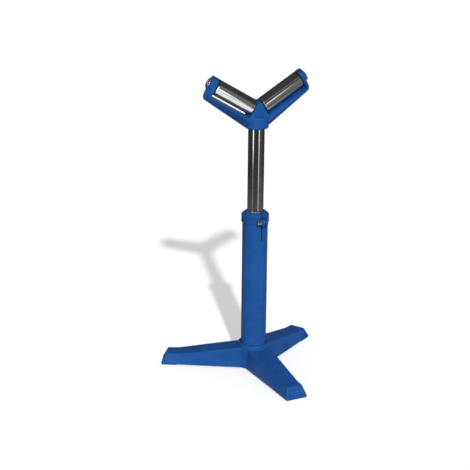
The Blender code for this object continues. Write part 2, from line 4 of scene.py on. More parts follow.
import math
import bmesh
import bpy
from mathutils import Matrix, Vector


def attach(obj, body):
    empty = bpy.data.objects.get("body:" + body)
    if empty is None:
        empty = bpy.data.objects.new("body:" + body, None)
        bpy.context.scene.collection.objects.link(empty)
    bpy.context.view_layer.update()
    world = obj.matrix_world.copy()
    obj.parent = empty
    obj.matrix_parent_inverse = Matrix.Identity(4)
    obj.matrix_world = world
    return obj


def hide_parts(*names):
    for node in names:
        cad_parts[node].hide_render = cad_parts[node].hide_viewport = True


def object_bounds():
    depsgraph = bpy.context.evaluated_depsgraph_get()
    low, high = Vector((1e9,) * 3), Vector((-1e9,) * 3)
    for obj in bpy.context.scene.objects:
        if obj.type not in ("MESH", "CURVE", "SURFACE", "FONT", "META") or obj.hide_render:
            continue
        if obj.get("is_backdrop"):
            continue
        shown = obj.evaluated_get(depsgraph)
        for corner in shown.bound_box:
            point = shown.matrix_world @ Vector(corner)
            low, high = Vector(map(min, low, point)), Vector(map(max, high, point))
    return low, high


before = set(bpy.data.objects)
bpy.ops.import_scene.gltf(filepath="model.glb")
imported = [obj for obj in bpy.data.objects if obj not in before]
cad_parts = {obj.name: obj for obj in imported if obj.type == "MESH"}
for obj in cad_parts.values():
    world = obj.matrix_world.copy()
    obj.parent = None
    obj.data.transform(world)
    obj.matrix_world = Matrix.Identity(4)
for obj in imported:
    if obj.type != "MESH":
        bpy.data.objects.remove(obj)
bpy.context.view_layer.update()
print("frame loaded:", len(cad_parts), "nodes")

mm = 0.001
deg = math.pi / 180
hair = 0.01 * mm
columnY = 56.14 * mm
columnFoot = (0, columnY, 0)


# Tools for shaping

def deselectAll():
    bpy.ops.object.select_all(action="DESELECT")


def pickOnly(piece):
    deselectAll()
    piece.select_set(True)
    bpy.context.view_layer.objects.active = piece


def pickVerts(piece, test):
    # In edit mode: selects the corners whose place passes the test
    bpy.ops.mesh.select_mode(type="VERT")
    shape = bmesh.from_edit_mesh(piece.data)
    for corner in shape.verts:
        corner.select = test(corner.co)
    shape.select_flush(True)
    shape.select_flush(False)
    bmesh.update_edit_mesh(piece.data)


def pickEdges(piece, test):
    bpy.ops.mesh.select_mode(type="EDGE")
    bpy.ops.mesh.select_all(action="DESELECT")
    shape = bmesh.from_edit_mesh(piece.data)
    for line in shape.edges:
        line.select_set(test(line.verts[0].co, line.verts[1].co))
    bmesh.update_edit_mesh(piece.data)


def pickFaces(piece, test):
    bpy.ops.mesh.select_mode(type="FACE")
    bpy.ops.mesh.select_all(action="DESELECT")
    shape = bmesh.from_edit_mesh(piece.data)
    for side in shape.faces:
        side.select_set(test(side.calc_center_median(), side.normal))
    bmesh.update_edit_mesh(piece.data)


def putAt(piece, place=(0, 0, 0), turn=(0, 0, 0)):
    # Moves the piece, then applies its place so that the object is back at the origin
    pickOnly(piece)
    piece.location = place
    piece.rotation_euler = turn
    bpy.ops.object.transform_apply(location=True, rotation=True, scale=True)


def applyModifier(piece, kind, **settings):
    pickOnly(piece)
    step = piece.modifiers.new("step", kind)
    for key, value in settings.items():
        setattr(step, key, value)
    bpy.ops.object.modifier_apply(modifier=step.name)


def softenEdges(piece, width, segments=3):
    applyModifier(piece, "BEVEL", width=width, segments=segments, limit_method="ANGLE",
                  angle_limit=30 * deg)


def combine(piece, other, operation):
    applyModifier(piece, "BOOLEAN", operation=operation, solver="EXACT", object=other)
    bpy.data.objects.remove(other, do_unlink=True)


def joinOn(piece, other):
    combine(piece, other, "UNION")


def cutWith(piece, tool):
    combine(piece, tool, "DIFFERENCE")


def castSkin(piece, sizes):
    # Even small faces with rounded edges and fillets, as a sand casting has; the swell makes
    # up for what the smoothing draws in
    applyModifier(piece, "REMESH", mode="VOXEL", voxel_size=sizes["grain"])
    applyModifier(piece, "SMOOTH", factor=0.5, iterations=sizes["rounds"])
    applyModifier(piece, "DISPLACE", strength=sizes["swell"], mid_level=0)


def turnRound(profile, sides=96, bored=False, edge=0.0, segments=2):
    # The profile is (radius, height) pairs, down the outside and then up the bore
    deselectAll()
    radius, height = profile[0]
    bpy.ops.mesh.primitive_circle_add(vertices=sides, radius=radius, fill_type="NOTHING",
                                      location=(0, 0, 0))
    piece = bpy.context.object
    bpy.ops.object.mode_set(mode="EDIT")
    bpy.ops.mesh.select_mode(type="EDGE")
    bpy.ops.mesh.select_all(action="SELECT")
    bpy.ops.transform.translate(value=(0, 0, height))
    for nextRadius, nextHeight in profile[1:]:
        bpy.ops.mesh.extrude_edges_move(
            TRANSFORM_OT_translate={"value": (0, 0, nextHeight - height)})
        grow = nextRadius / radius
        bpy.ops.transform.resize(value=(grow, grow, 1), center_override=(0, 0, nextHeight))
        radius, height = nextRadius, nextHeight
    bpy.ops.mesh.select_all(action="DESELECT")
    bpy.ops.mesh.select_non_manifold()
    if bored:
        bpy.ops.mesh.bridge_edge_loops()
    else:
        bpy.ops.mesh.fill_holes(sides=0)
    bpy.ops.mesh.select_all(action="SELECT")
    bpy.ops.mesh.normals_make_consistent(inside=False)
    bpy.ops.object.mode_set(mode="OBJECT")
    if edge:
        softenEdges(piece, edge, segments)
    return piece


def makeBlock(low, high, edge=0.0):
    deselectAll()
    middle = [(first + second) / 2 for first, second in zip(low, high)]
    size = [second - first for first, second in zip(low, high)]
    bpy.ops.mesh.primitive_cube_add(size=1, location=middle, scale=size)
    piece = bpy.context.object
    putAt(piece, piece.location)
    if edge:
        softenEdges(piece, edge)
    return piece


def ringBetween(inner, outer, bottom, top, edge, sides=96):
    return turnRound([(outer, top), (outer, bottom), (inner, bottom), (inner, top)], sides,
                     bored=True, edge=edge)


def makeRod(radius, bottom, top, sides=48):
    return turnRound([(radius, top), (radius, bottom)], sides)


def makeHexagon(corner, bottom, top, turn=0.0):
    piece = makeRod(corner, bottom, top, 6)
    putAt(piece, turn=(0, 0, turn))
    return piece


def copyOf(piece):
    pickOnly(piece)
    bpy.ops.object.duplicate()
    return bpy.context.object


def dress(piece, name, body, finish, slotName, *nodes, angle=32 * deg):
    # The finished piece gets its name, surface, body and the node that it stands for
    pickOnly(piece)
    piece.name = name
    piece.data.name = name
    bpy.ops.object.shade_smooth_by_angle(angle=angle)
    # Broad faces keep their own direction beside rounded edges, so reflections run straight
    applyModifier(piece, "WEIGHTED_NORMAL", mode="FACE_AREA", weight=50, keep_sharp=True)
    if finish:
        piece.data.materials.clear()
        piece.data.materials.append(finish)
    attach(piece, body)
    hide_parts(*nodes)
    return piece


# Shader tools

class Wire:
    # Wraps a socket, so that an expression on it adds its Math nodes
    def __init__(self, finish, socket):
        self.finish = finish
        self.socket = socket

    def sum(self, operation, first, second):
        return self.finish.node("ShaderNodeMath", {"operation": operation}, {0: first, 1: second})

    def __add__(self, other):
        return self.sum("ADD", self, other)

    def __radd__(self, other):
        return self.sum("ADD", other, self)

    def __sub__(self, other):
        return self.sum("SUBTRACT", self, other)

    def __rsub__(self, other):
        return self.sum("SUBTRACT", other, self)

    def __mul__(self, other):
        return self.sum("MULTIPLY", self, other)

    def fade(self, low, high, bottom=0.0, top=1.0):
        return self.finish.node("ShaderNodeMapRange", {"interpolation_type": "SMOOTHSTEP"},
                                {0: self, 1: low, 2: high, 3: bottom, 4: top})


class Finish:
    # A material whose steady values are set on the shader and whose varying ones are wired
    def __init__(self, name, **steady):
        self.material = bpy.data.materials.new(name)
        self.material.use_nodes = True
        self.tree = self.material.node_tree
        self.shader = self.tree.nodes["Principled BSDF"]
        for key, value in steady.items():
            self.shader.inputs[socketNames[key]].default_value = value
        self.place = self.node("ShaderNodeTexCoord", output="Object")

    def node(self, kind, settings=None, values=None, output=0):
        made = self.tree.nodes.new(kind)
        for key, value in (settings or {}).items():
            setattr(made, key, value)
        for key, value in (values or {}).items():
            self.feed(made.inputs[key], value)
        return Wire(self, made.outputs[output])

    def feed(self, socket, value):
        if isinstance(value, Wire):
            self.tree.links.new(value.socket, socket)
        else:
            socket.default_value = value

    def turnedPlace(self, centre, turn):
        return self.node("ShaderNodeMapping", {"vector_type": "TEXTURE"},
                         {"Vector": self.place, "Location": centre, "Rotation": turn})

    def parts(self, place):
        # X, Y and Z of a place or a direction
        split = self.node("ShaderNodeSeparateXYZ", {}, {0: place}).socket.node
        return [Wire(self, socket) for socket in split.outputs]

    def stretched(self, place, amounts):
        return self.node("ShaderNodeVectorMath", {"operation": "MULTIPLY"}, {0: place, 1: amounts})

    def cloud(self, place, scale, detail=3.0, roughness=0.5):
        return self.node("ShaderNodeTexNoise", {}, {"Vector": place, "Scale": scale,
                                                    "Detail": detail, "Roughness": roughness})

    def mixed(self, share, first, second):
        return self.node("ShaderNodeMix", {"data_type": "RGBA"},
                         {0: share, 6: first, 7: second}, output=2)

    def edgeMask(self, low, high):
        return self.node("ShaderNodeNewGeometry", output="Pointiness").fade(low, high)

    def bump(self, height, depth, under=None):
        values = {"Height": height, "Distance": depth}
        if under:
            values["Normal"] = under
        return self.node("ShaderNodeBump", {}, values)

    def wire(self, **values):
        for key, value in values.items():
            self.feed(self.shader.inputs[socketNames[key]], value)
        return self.material


socketNames = {
    "colour": "Base Color", "roughness": "Roughness", "metal": "Metallic", "normal": "Normal",
    "specular": "Specular IOR Level",
}


def grey(level):
    return (level, level, level, 1)


# Finishes

vee = {"height": 797.6 * mm, "tilt": 30.5 * deg}     # where the rollers' axes meet, their rise
enamel = {
    "deep": (0.008, 0.069, 0.268, 1), "fresh": (0.012, 0.088, 0.32, 1),
    "wornAndLitEdge": (0.028, 0.145, 0.42, 1), "paintedShade": (0.004, 0.026, 0.105, 1),
    "topShade": (0.022, 0.03, 0.056, 1), "barLight": (0.1, 0.105, 0.09, 1),
    "specular": 0.12, "roughness": 0.38, "driftScale": 11, "speckleScale": 650,
    "patchScale": 55, "peelScale": 260, "peelDepth": 0.06 * mm,
    "hollowShadeShare": 0.55, "upwardShadeShare": 0.2, "topShadeShare": 0.88, "barLightShare": 0.9,
    "castGrain": 3.2 * mm, "tubeGrain": 9 * mm,
}


def makeEnamel(name, grainSize, grainDepth, edgeWearAndLightShare, paintedTopsAndBar=False):
    # Satin enamel: drifts in tone, thin and paler on edges, where it is worn and where a highlight
    # is painted, grainy where it covers a casting,
    #  and darkened with painted shade in its hollows and on the faces that look up
    finish = Finish(name, specular=enamel["specular"])
    drift = finish.cloud(finish.place, enamel["driftScale"], 4)
    speckle = finish.cloud(finish.place, enamel["speckleScale"], 2)
    colour = finish.mixed(drift.fade(0.3, 0.7), enamel["deep"], enamel["fresh"])
    # Painted shade: hollows, creases and fillets are darkened towards a deep navy
    shadedHollows = 1 - finish.edgeMask(0.44, 0.495)
    colour = finish.mixed(shadedHollows * enamel["hollowShadeShare"], colour, enamel["paintedShade"])
    # Painted shade: faces that look up are darkened, standing in for weaker light from above
    facing = finish.node("ShaderNodeNewGeometry", output="Normal")
    upward = finish.parts(facing)[2]
    colour = finish.mixed(upward.fade(0.3, 0.9) * enamel["upwardShadeShare"], colour, enamel["paintedShade"])
    if paintedTopsAndBar:
        # Painted shade darkens the up-facing tops of the ears and the wedge to a grey navy, and
        # painted light gives the left bar's top a paler olive grey
        across, _, height = finish.parts(finish.place)
        rise = height - vee["height"]
        farOut = finish.node("ShaderNodeMath", {"operation": "ABSOLUTE"}, {0: across})
        aboveAxle = rise * math.cos(vee["tilt"]) - farOut * math.sin(vee["tilt"])
        tops = aboveAxle.fade(0, 20 * mm)
        leftBar = (1 - aboveAxle.fade(-20 * mm, -10 * mm)) * (1 - across.fade(-60 * mm, -30 * mm))
        lying = upward.fade(0.5, 0.8)
        colour = finish.mixed(lying * tops * enamel["topShadeShare"], colour, enamel["topShade"])
        # Painted light: the left bar's top is paler than its lighting gives, so the roller above
        # mirrors it lighter
        colour = finish.mixed(lying * leftBar * enamel["barLightShare"], colour, enamel["barLight"])
    # Paler edges: paint worn thin in patches, and a painted highlight along the rounded edges
    patchy = finish.cloud(finish.place, enamel["patchScale"], 3).fade(0.35, 0.65, 0.35, 1)
    rubbed = finish.edgeMask(0.512, 0.58) * patchy * edgeWearAndLightShare
    colour = finish.mixed(rubbed, colour, enamel["wornAndLitEdge"])
    grain = finish.bump(finish.cloud(finish.place, 1 / grainSize, 5, 0.6), grainDepth)
    peelHeight = finish.cloud(finish.place, enamel["peelScale"], 2)
    peel = finish.bump(peelHeight, enamel["peelDepth"], grain)
    roughness = enamel["roughness"] + drift * 0.1 + speckle * 0.08
    return finish.wire(colour=colour, roughness=roughness, normal=peel)


castEnamel = makeEnamel("castEnamel", enamel["castGrain"], grainDepth=0.32 * mm, edgeWearAndLightShare=0.6)
yokeEnamel = makeEnamel("yokeEnamel", enamel["castGrain"], grainDepth=0.28 * mm, edgeWearAndLightShare=0.6,
                        paintedTopsAndBar=True)
tubeEnamel = makeEnamel("tubeEnamel", enamel["tubeGrain"], grainDepth=0.05 * mm, edgeWearAndLightShare=0.4)


turnedLook = {"smearScale": 38, "smearShare": 0.45, "ringDepth": 0.012 * mm}
drawnLook = {
    "lines": (700, 700, 5), "streaks": (190, 190, 9), "marks": (52, 52, 19),
    "streakShare": 0.45, "markTone": (0.26, 0.25, 0.24, 1), "markShare": 0.12, "lowerShare": 0.6,
}


def makeTurnedSteel(name, centre, turn, lines, light, dull):
    # Tool marks run round the piece's own axis, which centre and turn give
    finish = Finish(name, metal=1.0)
    along = finish.turnedPlace(centre, turn)
    rings = finish.cloud(finish.stretched(along, (3, 3, lines)), 1, 4, 0.65)
    bands = finish.cloud(finish.stretched(along, (2, 2, lines * 0.06)), 1, 2)
    smears = finish.cloud(along, turnedLook["smearScale"], 4, 0.6)
    colour = finish.mixed(rings.fade(0.25, 0.75), grey(light * 0.86), grey(light))
    stain = (light * 0.62, light * 0.6, light * 0.56, 1)
    colour = finish.mixed(smears.fade(0.52, 0.75) * turnedLook["smearShare"], colour, stain)
    roughness = dull + (rings - 0.5) * 0.1 + bands.fade(0.4, 0.7) * 0.05
    roughness = roughness + smears.fade(0.5, 0.8) * 0.08
    return finish.wire(colour=colour, roughness=roughness,
                       normal=finish.bump(rings, turnedLook["ringDepth"]))


def makeDrawnSteel(name, centre, turn, cleanFrom, cleanTo, lineDepth, light, dull):
    # Drawn tube: fine lines along it, and grey handling marks that thin out from cleanFrom up
    # to cleanTo, both measured along the piece's own axis
    finish = Finish(name, metal=1.0)
    along = finish.turnedPlace(centre, turn)
    lines = finish.cloud(finish.stretched(along, drawnLook["lines"]), 1, 3, 0.6)
    streaks = finish.cloud(finish.stretched(along, drawnLook["streaks"]), 1, 3, 0.6)
    marks = finish.cloud(finish.stretched(along, drawnLook["marks"]), 1, 5, 0.62)
    lower = 1 - finish.parts(along)[2].fade(cleanFrom, cleanTo)
    colour = finish.mixed(lines.fade(0.3, 0.7), grey(light * 0.84), grey(light))
    streaky = streaks.fade(0.5, 0.72) * drawnLook["streakShare"]
    colour = finish.mixed(streaky, colour, grey(light * 0.6))
    dirt = marks.fade(0.42, 0.68) * (drawnLook["markShare"] + lower * drawnLook["lowerShare"])
    colour = finish.mixed(dirt, colour, drawnLook["markTone"])
    roughness = dull + lines * 0.04 + dirt * 0.06 + lower * 0.02
    return finish.wire(colour=colour, roughness=roughness, normal=finish.bump(lines, lineDepth))


def makePlainSteel(name, light, dull, speckle, depth):
    # Milled, plated or blackened steel: even, with a faint mottle and rubbed edges
    finish = Finish(name, metal=1.0)
    mottle = finish.cloud(finish.place, speckle, 4, 0.6)
    edges = finish.edgeMask(0.51, 0.6)
    colour = finish.mixed(mottle.fade(0.3, 0.7), grey(light * 0.72), grey(light * 1.1))
    colour = finish.mixed(edges * 0.7, colour, grey(min(0.7, light * 2.2)))
    roughness = dull + mottle * 0.16 - edges * 0.08
    return finish.wire(colour=colour, roughness=roughness, normal=finish.bump(mottle, depth))


def makePhenolic(name, pale, dark, speckle):
    # Resin-bonded cloth: mottled brown, a little paler where its edges are rubbed
    finish = Finish(name, specular=0.4)
    mottle = finish.cloud(finish.place, speckle, 3)
    colour = finish.mixed(mottle.fade(0.3, 0.7), pale, dark)
    rubbed = finish.edgeMask(0.51, 0.6)
    paler = [min(1, value * 1.25) for value in pale[:3]] + [1]
    colour = finish.mixed(rubbed * 0.3, colour, paler)
    return finish.wire(colour=colour, roughness=0.42 + mottle * 0.2,
                       normal=finish.bump(mottle, 0.04 * mm))


drawnSteel = makeDrawnSteel("drawnSteel", columnFoot, (0, 0, 0), cleanFrom=0.56, cleanTo=0.7,
                            lineDepth=0.008 * mm, light=0.6, dull=0.09)
blackOxide = makePlainSteel("blackOxide", light=0.055, dull=0.34, speckle=1400, depth=0.01 * mm)
platedSteel = makePlainSteel("platedSteel", light=0.5, dull=0.22, speckle=1100, depth=0.006 * mm)
ballSteel = makePlainSteel("ballSteel", light=0.6, dull=0.06, speckle=300, depth=0.001 * mm)
brownPhenolic = makePhenolic("brownPhenolic", pale=(0.35, 0.24, 0.14, 1),
                             dark=(0.22, 0.14, 0.075, 1), speckle=420)
print("finishes made")


# Base casting

base = {
    "legReach": 281.5 * mm, "knee": 231 * mm, "legStart": -10 * mm, "endLean": 17 * mm,
    "rootHeight": 70.7 * mm, "tipHeight": 35 * mm, "floorGap": 3.2 * mm, "wall": 8 * mm,
    "rootHalf": 42.4 * mm, "tipHalf": 34.6 * mm, "topRootHalf": 36 * mm, "topTipHalf": 24.4 * mm,
    "legEdge": 2.6 * mm, "padStart": 233 * mm, "padEnd": 279.5 * mm, "padInset": 2 * mm,
    "hubTop": 75 * mm, "hubRadius": 47 * mm, "footRadius": 53 * mm, "hubEdge": 2 * mm,
    "socketRadius": 38.35 * mm, "socketFloor": 15 * mm, "floorHole": 35 * mm,
    "mouthChamfer": 2.4 * mm, "mouthDepth": 6 * mm,
    "screwHole": 6.3 * mm, "screwHeights": (30 * mm, 54 * mm), "spotFace": 9.5 * mm,
    "spotDepth": 50.5 * mm, "holeStart": 20 * mm, "holeEnd": 80 * mm,
    "legAngles": (-90 * deg, 30 * deg, 150 * deg),
    "hollowBottom": -10 * mm, "padDepth": 6 * mm, "padEdge": 0.6 * mm,
    "grain": 2.1 * mm, "rounds": 4, "swell": 0.5 * mm,
}
overrun = 8 * mm     # how far a cutter reaches past the face that it opens


def between(first, second, share):
    return base[first] + (base[second] - base[first]) * share


def legForm(start, stop, inset, floor, lean):
    # A cube drawn out to a leg: tapered in plan, sloped to the knee, level beyond it
    piece = makeBlock((start, -1, floor), (stop, 1, base["rootHeight"]))
    knee = min(base["knee"], stop)
    bpy.ops.object.mode_set(mode="EDIT")
    if stop > knee:
        bpy.ops.mesh.select_all(action="SELECT")
        bpy.ops.mesh.bisect(plane_co=(knee, 0, 0), plane_no=(1, 0, 0))
    middle = (floor + base["rootHeight"]) / 2
    for reach in sorted({start, knee, stop}):
        share = reach / base["legReach"]
        drop = min(reach, base["knee"]) / base["knee"]
        foot = between("rootHalf", "tipHalf", share) - inset
        crown = between("topRootHalf", "topTipHalf", share) - inset
        height = between("rootHeight", "tipHeight", drop) - inset
        pickVerts(piece, lambda co: abs(co.x - reach) < hair and co.z < middle)
        bpy.ops.transform.resize(value=(1, foot, 1), center_override=(reach, 0, floor))
        pickVerts(piece, lambda co: abs(co.x - reach) < hair and co.z > middle)
        bpy.ops.transform.resize(value=(1, crown, 1), center_override=(reach, 0, floor))
        back = lean if reach == stop else 0
        bpy.ops.transform.translate(value=(-back, 0, height - base["rootHeight"]))
    bpy.ops.object.mode_set(mode="OBJECT")
    return piece


def roundLeg(leg):
    # Every long and end edge is rounded, but neither the knee nor the rim on the floor
    bpy.ops.object.mode_set(mode="EDIT")

    def isEdge(first, second):
        onFloor = max(first.z, second.z) < base["floorGap"] + hair
        across = abs(first.x - second.x) < hair and abs(first.x - base["knee"]) < hair
        return not onFloor and not across

    pickEdges(leg, isEdge)
    bpy.ops.mesh.bevel(offset=base["legEdge"], segments=4, affect="EDGES")
    bpy.ops.object.mode_set(mode="OBJECT")


leg = legForm(base["legStart"], base["legReach"], 0, base["floorGap"], base["endLean"])
roundLeg(leg)
legHollow = legForm(base["footRadius"], base["padStart"] - base["padInset"], base["wall"],
                    base["hollowBottom"], 0)
hub = turnRound([(base["hubRadius"], base["hubTop"]), (base["footRadius"], base["floorGap"])],
                edge=base["hubEdge"], segments=3)
for form, change in ((leg, joinOn), (legHollow, cutWith)):
    for angle in base["legAngles"]:
        turned = copyOf(form)
        putAt(turned, turn=(0, 0, angle))
        change(hub, turned)
    bpy.data.objects.remove(form, do_unlink=True)
castSkin(hub, base)

# The machined socket, the set screws' holes and the ground pads under the legs
mouth = base["socketRadius"] + base["mouthChamfer"]
mouthBottom = base["hubTop"] - base["mouthDepth"]
socket = turnRound([
    (mouth, base["hubTop"] + overrun), (mouth, mouthBottom),
    (base["socketRadius"], mouthBottom - base["mouthChamfer"]),
    (base["socketRadius"], base["socketFloor"]), (base["floorHole"], base["socketFloor"]),
    (base["floorHole"], -overrun),
])
for height in base["screwHeights"]:
    hole = turnRound([
        (base["spotFace"], base["holeEnd"]), (base["spotFace"], base["spotDepth"]),
        (base["screwHole"], base["spotDepth"]), (base["screwHole"], base["holeStart"]),
    ], 48)
    putAt(hole, (0, 0, height), (-90 * deg, 0, 0))
    joinOn(socket, hole)
cutWith(hub, socket)
for angle in base["legAngles"]:
    share = base["padStart"] / base["legReach"]
    nearHalf = between("rootHalf", "tipHalf", share) - base["padInset"]
    pad = makeBlock((base["padStart"], -nearHalf, 0), (base["padEnd"], nearHalf, base["padDepth"]))
    bpy.ops.object.mode_set(mode="EDIT")
    pickVerts(pad, lambda co: co.x > base["padEnd"] - hair)
    narrow = (base["tipHalf"] - base["padInset"]) / nearHalf
    bpy.ops.transform.resize(value=(1, narrow, 1), center_override=(base["padEnd"], 0, 0))
    pickFaces(pad, lambda co, up: up.z < -0.9)
    bpy.ops.mesh.bevel(offset=base["padEdge"], segments=2, affect="EDGES")
    bpy.ops.object.mode_set(mode="OBJECT")
    putAt(pad, turn=(0, 0, angle))
    joinOn(hub, pad)
putAt(hub, columnFoot)
dress(hub, "baseCasting", "stand", castEnamel, "blue_paint", "base_casting")
print("base cast:", len(hub.data.polygons), "faces")


# Column tube, with its slot, guide bush and wiper

column = {
    "radius": 38.05 * mm, "wall": 3.6 * mm, "bottom": 15.3 * mm, "top": 482 * mm, "edge": 0.8 * mm,
    "slotWidth": 4.6 * mm, "slotBottom": 409 * mm, "slotAngle": -85 * deg,
    "slotReach": 60 * mm, "slotTop": 500 * mm, "bushSlotBottom": 390 * mm,
    "bushInner": 24.4 * mm, "bushOuter": 34.15 * mm, "bushBottom": 436 * mm, "bushEdge": 0.6 * mm,
    "wiperOuter": 27 * mm, "wiperBottom": 482.3 * mm, "wiperTop": 496.5 * mm,
    "wiperShoulder": 495.2 * mm, "wiperStep": 495.6 * mm, "wiperLip": 1.5 * mm,
    "wiperInset": 0.4 * mm, "wiperEdge": 0.25 * mm,
}

tube = ringBetween(column["radius"] - column["wall"], column["radius"], column["bottom"],
                   column["top"], column["edge"], 128)
slotHalf = column["slotWidth"] / 2


def slotTool(bottom):
    # A flat bar with a round lower end, turned to the slot's side of the column
    reach = column["slotReach"]
    bar = makeBlock((0, -slotHalf, bottom + slotHalf), (reach, slotHalf, column["slotTop"]))
    end = makeRod(slotHalf, 0, reach, 24)
    putAt(end, (0, 0, bottom + slotHalf), (0, 90 * deg, 0))
    joinOn(bar, end)
    putAt(bar, turn=(0, 0, column["slotAngle"]))
    return bar


cutWith(tube, slotTool(column["slotBottom"]))
putAt(tube, columnFoot)
dress(tube, "columnTube", "stand", tubeEnamel, "blue_paint", "column_tube")

bush = ringBetween(column["bushInner"], column["bushOuter"], column["bushBottom"], column["top"],
                   column["bushEdge"])
cutWith(bush, slotTool(column["bushSlotBottom"]))
putAt(bush, columnFoot)
bushSteel = makeTurnedSteel("bushSteel", columnFoot, (0, 0, 0), lines=1500, light=0.42, dull=0.3)
dress(bush, "columnBush", "stand", bushSteel, "machined_steel", "column_bush")

inner, outer = column["bushInner"], column["wiperOuter"]
wiper = turnRound([
    (inner + column["wiperLip"], column["wiperTop"]), (outer, column["wiperShoulder"]),
    (outer, column["wiperBottom"]), (inner, column["wiperBottom"]), (inner, column["wiperStep"]),
    (inner + column["wiperInset"], column["wiperTop"]),
], 96, bored=True, edge=column["wiperEdge"])
putAt(wiper, columnFoot)
wiperSteel = makeTurnedSteel("wiperSteel", columnFoot, (0, 0, 0), lines=700, light=0.88, dull=0.08)
dress(wiper, "columnWiper", "stand", wiperSteel, "bright_steel", "column_wiper")
print("column, bush and wiper turned")


# Clamp collar with its lugs, screw, washer and nut

collar = {
    "bottom": 461 * mm, "top": 493 * mm, "radius": 41 * mm, "coneStart": 484 * mm,
    "coneRadius": 31 * mm, "bore": 38.35 * mm, "lipUnder": 482.3 * mm, "lipBore": 27.3 * mm,
    "lugStart": 39 * mm, "lugReach": 56 * mm, "lugSide": 11.3 * mm, "lugTop": 479 * mm,
    "lugEdge": 1.5 * mm, "boreTop": 481 * mm, "screwOut": 47.5 * mm, "screwHeight": 470 * mm,
    "hole": 4.5 * mm, "holeHalf": 20 * mm, "pocketFloor": -8.3 * mm, "pocketGap": 0.35 * mm,
    "grooveTop": 479.6 * mm, "grooveBottom": 477.2 * mm, "grooveDepth": 1.2 * mm,
    "grooveSlope": 0.5 * mm, "grain": 0.55 * mm, "rounds": 3, "swell": 0.12 * mm,
}
clampNut = {
    "corner": 7.5 * mm, "inner": -8.6 * mm, "outer": -12.6 * mm, "turn": 30 * deg,
    "edge": 0.35 * mm, "thread": 4.3 * mm, "mouth": 5.2 * mm, "mouthStart": 0.1 * mm,
    "mouthDepth": 1 * mm,
}

outer, bottom, top = collar["radius"], collar["bottom"], collar["top"]
grooveRadius = outer - collar["grooveDepth"]
ring = turnRound([
    (collar["coneRadius"], top), (outer, collar["coneStart"]), (outer, collar["grooveTop"]),
    (grooveRadius, collar["grooveTop"] - collar["grooveSlope"]),
    (grooveRadius, collar["grooveBottom"] + collar["grooveSlope"]),
    (outer, collar["grooveBottom"]), (outer, bottom), (collar["bore"], bottom),
    (collar["bore"], collar["lipUnder"]), (collar["lipBore"], collar["lipUnder"]),
    (collar["lipBore"], top),
], 128, bored=True)
lugs = makeBlock((collar["lugStart"], -collar["lugSide"], bottom),
                 (collar["lugReach"], collar["lugSide"], collar["lugTop"]), collar["lugEdge"])
putAt(lugs, turn=(0, 0, column["slotAngle"]))
joinOn(ring, lugs)
cutWith(ring, makeRod(collar["bore"], bottom - overrun, collar["boreTop"], 128))
slotBar = makeBlock((0, -slotHalf, bottom - overrun),
                    (collar["lugReach"] + overrun, slotHalf, top + overrun))
putAt(slotBar, turn=(0, 0, column["slotAngle"]))
cutWith(ring, slotBar)


def alongScrew(piece):
    # From a height along the clamp screw's own axis to its place through the lugs
    putAt(piece, turn=(90 * deg, 0, 0))
    putAt(piece, (collar["screwOut"], 0, collar["screwHeight"]))
    putAt(piece, turn=(0, 0, column["slotAngle"]))
    return piece


cutWith(ring, alongScrew(makeRod(collar["hole"], -collar["holeHalf"], collar["holeHalf"], 32)))
cutWith(ring, alongScrew(makeHexagon(clampNut["corner"] + collar["pocketGap"], -collar["holeHalf"],
                                     collar["pocketFloor"], clampNut["turn"])))
castSkin(ring, collar)
putAt(ring, columnFoot)
dress(ring, "clampCollar", "stand", castEnamel, "blue_paint", "clamp_collar", angle=50 * deg)

clampScrew = {
    "radius": 4 * mm, "end": -13 * mm, "headBottom": 13.5 * mm, "headTop": 21.5 * mm,
    "headRadius": 6.5 * mm, "headEdge": 0.7 * mm, "key": 3.46 * mm, "keyDepth": 4 * mm,
    "pitch": 1.25 * mm, "threadDepth": 0.55 * mm, "shankEnd": 4 * mm, "sides": 72,
    "knurlRim": 0.12 * mm, "knurlDepth": 0.2 * mm,
}
clampWasher = {
    "radius": 7.5 * mm, "hole": 4.5 * mm, "inner": 11.6 * mm, "outer": 13.2 * mm,
    "edge": 0.25 * mm,
}
shank, pitch, threadEnd = clampScrew["radius"], clampScrew["pitch"], clampScrew["end"]
threadRoot = shank - clampScrew["threadDepth"]
thread = []
level = clampScrew["shankEnd"]
while level > threadEnd + pitch:
    thread += [(shank, level), (threadRoot, level - pitch / 2)]
    level -= pitch
head, headEdge = clampScrew["headRadius"], clampScrew["headEdge"]
headBottom, headTop = clampScrew["headBottom"], clampScrew["headTop"]
screw = turnRound([
    (head - headEdge, headTop), (head, headTop - headEdge), (head, headBottom),
    (shank, headBottom), *thread, (threadRoot, threadEnd),
], clampScrew["sides"])
# Knurled head: every other strip of its side is pushed in a little
bpy.ops.object.mode_set(mode="EDIT")
headMiddle = (headTop + headBottom) / 2
facet = 360 * deg / clampScrew["sides"]
pickFaces(screw, lambda co, out: abs(co.z - headMiddle) < 1.5 * mm and abs(out.z) < 0.1
          and round(math.atan2(co.y, co.x) / facet - 0.5) % 2 == 0)
bpy.ops.mesh.inset(thickness=clampScrew["knurlRim"], depth=-clampScrew["knurlDepth"],
                   use_individual=True)
bpy.ops.object.mode_set(mode="OBJECT")
cutWith(screw, makeHexagon(clampScrew["key"], headTop - clampScrew["keyDepth"], headTop + overrun))
alongScrew(screw)
putAt(screw, columnFoot)
dress(screw, "clampScrew", "clamp_screw", platedSteel, "machined_steel", "clamp_screw")

washer = ringBetween(clampWasher["hole"], clampWasher["radius"], clampWasher["inner"],
                     clampWasher["outer"], clampWasher["edge"], 64)
alongScrew(washer)
putAt(washer, columnFoot)
dress(washer, "clampWasher", "clamp_washer", platedSteel, "machined_steel", "clamp_washer")

